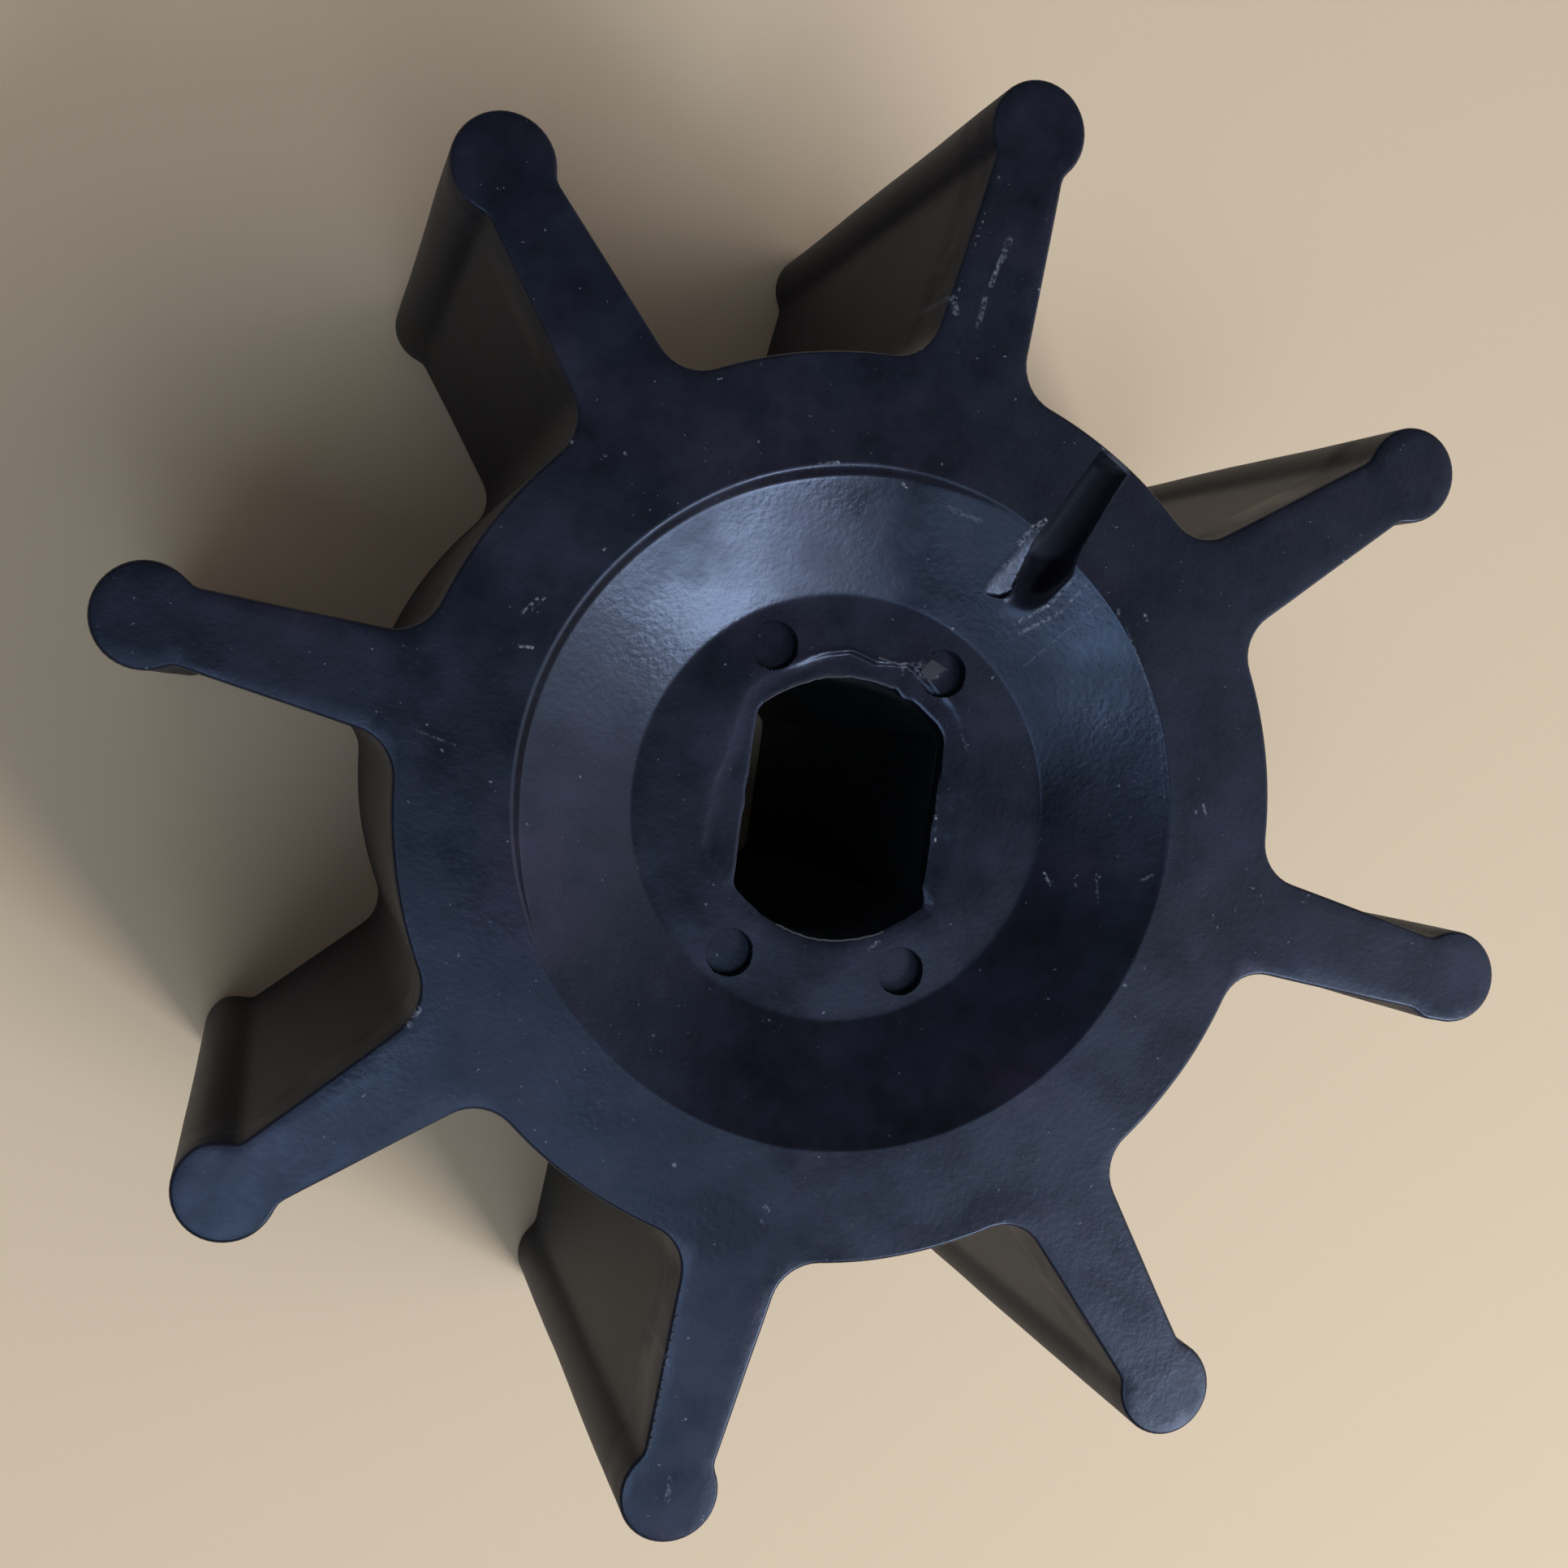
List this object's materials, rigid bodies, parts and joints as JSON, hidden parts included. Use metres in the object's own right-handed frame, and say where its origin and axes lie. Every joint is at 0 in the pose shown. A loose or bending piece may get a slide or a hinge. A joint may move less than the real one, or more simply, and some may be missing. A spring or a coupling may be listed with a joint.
{
  "type": "rubber pump impeller",
  "caption": "Flexible rubber pump impeller with straight radial blades, rounded blade tips, a dished grooved hub face and a double-D drive bore, for a cooling water pump.",
  "frame": {"origin": "centre of the rear face, where the shaft axis meets it", "axes": "+Z along the shaft axis towards the recessed front face; the flats of the bore run along Y; the groove in the front face lies 60 degrees from +X"},
  "size_m": [0.0568, 0.0568, 0.0318],
  "materials": {
    "moulded_rubber": "satin black moulded nitrile rubber with a faint blue sheen",
    "insert_polymer": "matte black glass-filled polymer"
  },
  "bodies": {
    "root": {"rubber_rotor": "moulded_rubber", "drive_insert": "insert_polymer"}
  },
  "joints": []
}
